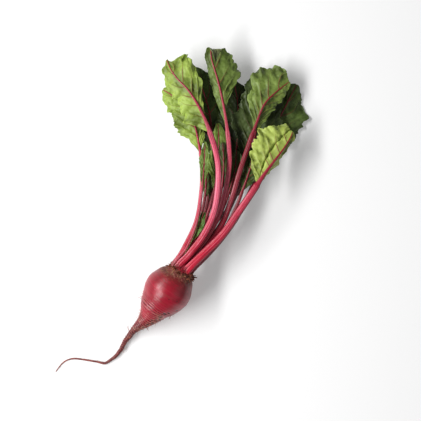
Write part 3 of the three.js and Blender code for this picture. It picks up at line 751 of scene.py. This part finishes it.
def stalk_skin(name, base, upper, length):
    pale = tuple(min(value + more, 236) for value, more in zip(upper, (40, 60, 56)))
    dark = tuple(value * 0.42 for value in base)
    place, surface, finish = new_material("stalk_skin_" + name, Specular_IOR_Level=0.5)
    along = surface.axis("Y") * UV_LENGTH / length
    streaks = surface.scaled(24, 1.3, 1).noise(1.0, 5, 0.65)
    fibres = surface.scaled(84, 5, 1).noise(1.0, 3, 0.6)
    blotches = place.noise(85, 4)
    specks = place.noise(520, 3)
    colour = (along + (blotches - 0.5) * 0.3).ramp(0.06, 0.4).mix(base, upper)
    colour = (streaks.ramp(0.53, 0.62) * 0.75).mix(colour, pale)
    colour = (streaks.ramp(0.47, 0.35) * 0.7).mix(colour, dark)
    colour = (fibres.ramp(0.54, 0.72) * 0.3).mix(colour, pale)
    colour = (specks.ramp(0.56, 0.68) * 0.35).mix(colour, dark)
    # Painted shade: the stalk's sides and underside are darker than its top.
    shade_from_top = abs(surface.axis("X") - 0.5)
    colour = (shade_from_top.ramp(0.1, 0.24) * 0.6).mix(colour, dark)
    colour = (along.ramp(0.54, 0.76) * 0.8).mix(colour, MIDRIB_RED)
    # A dry brown sheath is left where the stalk leaves the crown.
    sheath = 1 - (along * length + (blotches - 0.5) * 14 + (streaks - 0.5) * 10).ramp(2, 11)
    colour = (sheath * 0.6).mix(colour, SHEATH_BROWN)
    roughness = 0.2 + streaks * 0.2 + blotches * 0.14
    height = streaks * 0.8 + fibres * 0.35 + blotches * 0.4
    return finish(Base_Color=colour, Roughness=roughness, Normal=height.bump(0.4, 0.0005))


def add_stalk(name, letter, leaf, tints):
    *rings_and_ends, length = stalk_points(leaf)
    return add_piece(name + letter, *skin_over(*rings_and_ends), stalk_skin(letter, *tints, length))


for letter, leaf in LEAVES.items():
    stalk = add_stalk("leaf_stalk_", letter, leaf, STALK_TINTS[letter])
    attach(stalk, "root")
    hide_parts("stalk_" + letter)

# Blades: thin soft leaf tissue that hangs from both sides of its midrib, puckered between its side veins
# and ruffled and finely toothed at the edge. The veins are red by the midrib and pale out to green.
BLADE_ROWS = 170
BLADE_COLUMNS = 34  # on each side of the midrib
BLADE_THICKNESS = 0.4
WING = 1.3  # the least width of each half, where the blade begins
TIP_WIDTH = 1.2
LOBE_DEPTH = 0.3  # this and the teeth's depths are shares of the width
TEETH_DEPTH = 0.16
FINE_TEETH_DEPTH = 0.1
SCALLOP = 0.04
RUFFLE_POWER = 1.7  # how much the ruffle keeps to the edge
VEIN_STARTS = [-0.1, 0.03, 0.17, 0.32, 0.46, 0.62, 0.8]  # along the midrib, as shares of the blade
VEIN_LEAN = 0.3  # how far a side vein has moved towards the tip by the edge
PUCKER = 0.9  # millimetres that the tissue sinks between the veins
FOLD_DEPTH = 4
CRINKLE = 1.3
LEAST_CURL = 1e-3  # radians, as none would divide by zero
LEAST_HEIGHT = 0.05  # millimetres from the surface
# Each leaf's colour on the side with the midrib's back, and on the other side. The darker tints of d and of
# the low leaves g to j are painted shade.
LEAF_TINTS = {
    "a": ((128, 150, 58), (84, 108, 40)), "b": ((132, 154, 60), (94, 118, 46)),
    "c": ((94, 114, 46), (132, 142, 91)), "d": ((104, 124, 52), (80, 100, 40)),
    "e": ((156, 172, 78), (100, 122, 48)), "f": ((112, 138, 54), (80, 104, 38)),
    "g": ((58, 72, 30), (50, 66, 26)), "h": ((76, 96, 38), (60, 80, 32)),
    "i": ((62, 80, 32), (52, 70, 28)), "j": ((50, 64, 26), (46, 60, 24)),
    "k": ((96, 122, 46), (80, 100, 38)),
}
VEIN_RED = (120, 26, 38)


def wave(turns):
    return np.sin(2 * math.pi * turns)


def half_width_at(half, along):
    _, waves, phase = half.ruffle
    rise = np.sin(math.pi / 2 * np.minimum(along / half.peak, 1)) ** half.rise
    fall = np.cos(math.pi / 2 * np.maximum((along - half.peak) / (1 - half.peak), 0)).clip(0) ** half.fall
    scallops = 1 + SCALLOP * wave(1.5 * waves * along + phase)
    wing = WING + (TIP_WIDTH - WING) * along
    return wing + half.width * rise * (fall + (1 - fall) * half.end) * scallops


def half_blade(leaf, frames, name, along, out):
    """One half of a blade, rows along it and columns out from the midrib: its middle surface, and how
    many millimetres each point is from a side vein."""
    half = leaf[name]
    sign = -1 if name == "left" else 1
    share = leaf["blade_from"] + (1 - leaf["blade_from"]) * along
    at, ahead, up, side = (part[:, None] for part in frames_at(frames, share))
    rib = stalk_half_width(leaf, share)[:, None]
    length = frames["length"] * (1 - leaf["blade_from"])
    along = along[:, None]
    out = out[None]
    flat = np.stack(np.broadcast_arrays(along * length, out * sign * 10, leaf["seat"][0] * 3), -1)
    # The blade leaves the midrib at an angle and curls evenly out to its toothed edge.
    leave = math.radians(half.leave) * smooth(along, -0.1, 0.2) * (1 - 0.7 * smooth(along, 0.75, 1))
    curl = math.radians(half.curl) * smooth(along, 0, 0.3)
    curl = np.where(np.abs(curl) < LEAST_CURL, LEAST_CURL, curl)
    turned = leave + curl * out
    width = half_width_at(half, along)
    lobes = LOBE_DEPTH * rough(flat, 21, 20) * out**2
    teeth = (TEETH_DEPTH * rough(flat, 7, 21) + FINE_TEETH_DEPTH * rough(flat, 2.6, 22)) * out**5
    outward = width / curl * (np.sin(turned) - np.sin(leave)) * (1 + lobes + teeth)
    upward = width / curl * (np.cos(leave) - np.cos(turned))
    # It waves more towards the edge, and sinks between the side veins.
    height, waves, phase = half.ruffle
    swing = 0.5 * wave(waves * along + phase) + 0.3 * wave(2.3 * waves * along) + 1.7 * rough(flat, 13, 23)
    ruffle = height * out**RUFFLE_POWER * swing * smooth(width, 0, height * 5)
    uneven = 0.02 * sign * np.cos(np.arange(len(VEIN_STARTS)) * 5)
    starts = (np.array(VEIN_STARTS) + uneven)[:, None, None]
    lean = VEIN_LEAN * out**1.3 + 0.025 * rough(flat, 14, 24)
    vein = np.abs((along - lean)[None] - starts).min(axis=0) * length
    ruffle = ruffle - PUCKER * smooth(vein, 0, 5) * smooth(out, 0.02, 0.25) * smooth(width, 4, 18)
    if half.fold:
        ruffle = ruffle - FOLD_DEPTH * bell(out, half.fold, 0.035) * smooth(along, 0.1, 0.3)
    below = rib * (FLATNESS + np.tan(np.maximum(leave, 0))) * 0.8
    sideways = sign * (outward - np.sin(turned) * ruffle)
    points = at + side * sideways[..., None] + up * (upward + np.cos(turned) * ruffle - below)[..., None]
    low, high = half.sweep
    return points + ahead * ((low + (high - low) * along) * width * out)[..., None], vein


def blade_points(leaf):
    """Vertices, faces and UVs of a blade as a thin closed slab, and the values its material reads."""
    frames = leaf_frames(leaf)
    along = np.linspace(0, 1, BLADE_ROWS)
    out = np.linspace(0, 1, BLADE_COLUMNS + 1)
    halves = [half_blade(leaf, frames, name, along, out) for name in ("left", "right")]
    middle, vein = (np.concatenate([left[:, :0:-1], right], axis=1) for left, right in zip(*halves))
    rows, columns = middle.shape[:2]
    normal = unit(np.cross(np.gradient(middle, axis=1), np.gradient(middle, axis=0)))
    from_rib = np.abs(np.linspace(-1, 1, columns))[None]
    crest = 0.75 * rough(middle, 8, 7) + 0.45 * rough(middle, 3.6, 8) + 1.7 * rough(middle, 22, 9)
    crest *= smooth(from_rib, 0.0, 0.3) * (0.4 + 0.6 * smooth(vein, 0, 3))
    middle = middle + normal * (crest * CRINKLE)[..., None]
    normal = unit(np.cross(np.gradient(middle, axis=1), np.gradient(middle, axis=0)))
    shell = np.concatenate([middle + normal * BLADE_THICKNESS / 2, middle - normal * BLADE_THICKNESS / 2])
    shell = shell.reshape(-1, 3)
    shell[:, 2] = shell[:, 2].clip(LEAST_HEIGHT)
    count = rows * columns
    i, k = np.meshgrid(np.arange(rows - 1), np.arange(columns - 1), indexing="ij")
    corner = i * columns + k
    face = np.stack([corner, corner + 1, corner + columns + 1, corner + columns], -1).reshape(-1, 4)
    quads = face.tolist() + (face[:, ::-1] + count).tolist()
    edge = [*range(columns), *range(2 * columns - 1, count, columns)]
    edge += [*range(count - 2, count - columns - 1, -1), *range(count - 2 * columns, 0, -columns)]
    for first, second in zip(edge, edge[1:] + edge[:1]):
        quads.append([first, first + count, second + count, second])
    grid_u, grid_v = np.meshgrid(np.linspace(0, 1, columns), along)
    uv = np.stack([grid_u.ravel(), grid_v.ravel()], -1)
    uvs = uv[np.array(quads) % count].reshape(-1, 2)
    back = np.repeat([1.0, 0.0], count)
    values = {"back": back, "vein": np.tile(vein.ravel(), 2), "crest": np.tile(crest.ravel(), 2)}
    return shell, quads, uvs, values


def leaf_tissue(name, near, far):
    dark = tuple(value * 0.52 for value in near)
    light = tuple(min(value * 1.1 + 22, 235) for value in near)
    place, surface, finish = new_material("leaf_tissue_" + name, Specular_IOR_Level=0.35)
    out = abs(surface.axis("X") * 2 - 1)
    crest = place.held("crest")
    vein = place.held("vein")
    broad = place.noise(34, 3)
    mottle = place.noise(150, 5, 0.62)
    fine = place.noise(620, 4)
    green = place.held("back").mix(far, near)
    green = (broad.ramp(0.46, 0.7) * 0.5).mix(green, dark)
    # Painted shade darkens the hollows of the crinkles, and painted highlight pales their crests.
    green = (crest.ramp(0.05, -0.8) * 0.55).mix(green, dark)
    green = (crest.ramp(0.05, 0.75) * 0.5).mix(green, light)
    green = (mottle.ramp(0.54, 0.72) * 0.4).mix(green, light)
    green = (mottle.ramp(0.44, 0.28) * 0.4).mix(green, dark)
    green = (out.ramp(0.95, 1.0) * 0.35).mix(green, light)
    # Side veins thin out towards the edge, where their red pales to green.
    wide = 1 - out * 0.6
    lines = 1 - vein.make("ShaderNodeMapRange", {}, {
        "Value": vein, "From Min": wide * 0.35, "From Max": wide})
    red = out.ramp(0.25, 0.95).mix(VEIN_RED, light)
    colour = (lines * (0.95 - out * 0.5)).mix(green, red)
    roughness = 0.36 + mottle * 0.3
    height = lines * 0.9 + mottle * 0.9 + fine * 0.25
    return finish(Base_Color=colour, Roughness=roughness, Normal=height.bump(0.55, 0.0006))


def add_blade(name, letter, leaf, tints):
    points, quads, uvs, values = blade_points(leaf)
    return add_piece(name + letter, points, quads, uvs, leaf_tissue(letter, *tints), values)


for letter, leaf in LEAVES.items():
    blade = add_blade("leaf_blade_", letter, leaf, LEAF_TINTS[letter])
    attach(blade, "root")
    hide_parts("blade_" + letter)

# Young leaves: thin red stalks with small narrow blades that stand between the grown ones, one of them
# short and still curled up. They grow out of the crown, as the grown leaves do.
YOUNG_LEAVES = {
    "l": {
        "seat": (-11, -1), "blade_from": 0.62, "stalk": (2.3, 1.9),
        "line": [
            [26, 57, 28], [33, 71, 25.5], [41.5, 88, 24], [48.5, 120, 21.5], [50, 150, 21],
            [47, 178, 21],
        ],
        "left": Half(width=5, leave=0, curl=-2, ruffle=(1.2, 3, 0.5)),
        "right": Half(width=12, leave=0, curl=-2, ruffle=(1.2, 3, 0.1)),
    },
    "m": {
        "seat": (-9, 1), "blade_from": 0.5, "stalk": (0.9, 0.8),
        "line": [
            [27, 55, 41], [36.5, 74, 40.8], [41, 84, 40.6], [44.5, 93, 40.4], [47, 101, 40],
        ],
        "left": Half(width=3, leave=5, curl=25, ruffle=(1, 3, 0.5)),
        "right": Half(width=4, leave=5, curl=25, ruffle=(1, 3, 0.1)),
    },
    "n": {
        "seat": (0, -5), "blade_from": 0.66, "stalk": (2.9, 2.0),
        "line": [
            [42, 58, 28], [58, 80, 27], [72, 108, 26], [82, 136, 25], [86.5, 158, 24.5],
            [88, 178, 24.5],
        ],
        "left": Half(width=6, leave=0, curl=-5, ruffle=(1, 3, 0.3)),
        "right": Half(width=11, leave=0, curl=-5, ruffle=(1.2, 3, 0.8)),
    },
    "o": {
        "seat": (7.5, -1), "blade_from": 0.68, "stalk": (2.9, 2.1),
        "line": [
            [55, 53, 33.5], [71.5, 76, 33.5], [85, 101, 33], [96, 129, 32], [106, 158, 31],
            [114, 184, 30],
        ],
        "left": Half(width=12, leave=0, curl=-10, ruffle=(2, 3, 0.6)),
        "right": Half(width=14, leave=0, curl=-10, ruffle=(2, 3, 0.2)),
    },
    "q": {
        "seat": (-6, -0.5), "blade_from": 0.66, "stalk": (2.5, 1.7),
        "line": [
            [34, 52, 33], [49.5, 76, 33], [63, 103, 33], [70, 134, 33], [72, 162, 33], [71, 188, 32],
        ],
        "left": Half(width=9, leave=0, curl=-10, ruffle=(1.6, 3, 0.9)),
        "right": Half(width=9, leave=0, curl=-10, ruffle=(1.6, 3, 0.4)),
    },
    "r": {
        "seat": (0.3, -11.6), "blade_from": 0.8, "stalk": (1.9, 1.6),
        "line": [
            [44.5, 56, 18.5], [57, 78, 14.5], [70, 97, 12.5], [84, 114, 11.5], [93, 132, 11],
            [98, 148, 11],
        ],
        "left": Half(width=4, leave=0, curl=-5, ruffle=(0.8, 3, 0.7)),
        "right": Half(width=4, leave=0, curl=-5, ruffle=(0.8, 3, 0.2)),
    },
    "s": {
        "seat": (-7.6, -4.6), "blade_from": 0.75, "stalk": (1.9, 1.7),
        "line": [
            [35, 56.5, 27], [47, 79, 21.5], [53.5, 103, 17.3], [57.3, 127, 15.5], [58.5, 145, 16],
        ],
        "left": Half(width=3, leave=0, curl=-5, ruffle=(0.8, 3, 0.1)),
        "right": Half(width=3, leave=0, curl=-5, ruffle=(0.8, 3, 0.5)),
    },
}
# The young leaves' dark tints are painted shade, as they stand low between the grown ones.
YOUNG_STALK_TINT = ((142, 10, 34), (104, 12, 24))
YOUNG_LEAF_TINT = ((66, 84, 34), (56, 74, 30))
# The curled leaf, m, is lighter and greener than the others.
YOUNG_STALK_TINTS = {"m": ((150, 60, 60), (136, 132, 60))}
YOUNG_LEAF_TINTS = {"m": ((78, 112, 40), (96, 128, 48))}

for letter, leaf in YOUNG_LEAVES.items():
    stalk_tints = YOUNG_STALK_TINTS.get(letter, YOUNG_STALK_TINT)
    stalk = add_stalk("young_stalk_", letter, leaf, stalk_tints)
    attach(stalk, "root")
    leaf_tints = YOUNG_LEAF_TINTS.get(letter, YOUNG_LEAF_TINT)
    blade = add_blade("young_blade_", letter, leaf, leaf_tints)
    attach(blade, "root")

# Setting: a plain pale floor under soft studio light from the upper left, with a long lens that looks
# straight down, so that the picture keeps the plant's own outline.
PICTURE = 421  # pixels
MM_PER_PIXEL = 1.25
ORIGIN_PIXEL = (166, 293)
SENSOR = 36  # millimetres wide
LENS_HEIGHT = 2.4
LENS_AIM = 0.025  # height that is in the picture's own scale
FLOOR_SIZE = 6
FLOOR_GREY = (0.7, 0.7, 0.7, 1)
FLOOR_GLOW = 0.25
WHITE = (1, 1, 1, 1)
SKY_LIGHT = 0.14
LAMPS_AIM = Vector((0.04, 0.1, 0.02))
# Each lamp's place in metres, power, length and width.
LAMPS = {
    "key": ((-1.15, 0.12, 1.25), 52, 2.2, 0.3),
    "fill": ((1.3, -0.5, 1.3), 3, 1.4, 1.4),
}

bpy.ops.mesh.primitive_plane_add(size=FLOOR_SIZE)
floor = bpy.context.object
floor.name = "floor"
paper = bpy.data.materials.new("paper")
paper.use_nodes = True
paper_inputs = paper.node_tree.nodes["Principled BSDF"].inputs
paper_inputs["Base Color"].default_value = FLOOR_GREY
paper_inputs["Emission Color"].default_value = WHITE
paper_inputs["Emission Strength"].default_value = FLOOR_GLOW
paper_inputs["Roughness"].default_value = 0.9
floor.data.materials.append(paper)

for name, (place, power, long, wide) in LAMPS.items():
    lamp = bpy.data.lights.new(name, "AREA")
    lamp.energy = power
    lamp.shape = "RECTANGLE"
    lamp.size = long
    lamp.size_y = wide
    holder = bpy.data.objects.new(name, lamp)
    holder.location = place
    holder.rotation_euler = (LAMPS_AIM - Vector(place)).to_track_quat("-Z", "Y").to_euler()
    bpy.context.scene.collection.objects.link(holder)
sky = bpy.data.worlds.new("studio")
sky.use_nodes = True
sky.node_tree.nodes["Background"].inputs["Color"].default_value = WHITE
sky.node_tree.nodes["Background"].inputs["Strength"].default_value = SKY_LIGHT
bpy.context.scene.world = sky
bpy.context.scene.view_settings.view_transform = "Standard"

lens = bpy.data.cameras.new("camera")
lens.sensor_width = SENSOR
lens.lens = SENSOR * (LENS_HEIGHT - LENS_AIM) / (PICTURE * MM_PER_PIXEL * MM)
lens.clip_end = 20
camera = bpy.data.objects.new("camera", lens)
camera.location = (
    (PICTURE / 2 - ORIGIN_PIXEL[0]) * MM_PER_PIXEL * MM,
    (ORIGIN_PIXEL[1] - PICTURE / 2) * MM_PER_PIXEL * MM,
    LENS_HEIGHT,
)
bpy.context.scene.collection.objects.link(camera)
bpy.context.scene.camera = camera
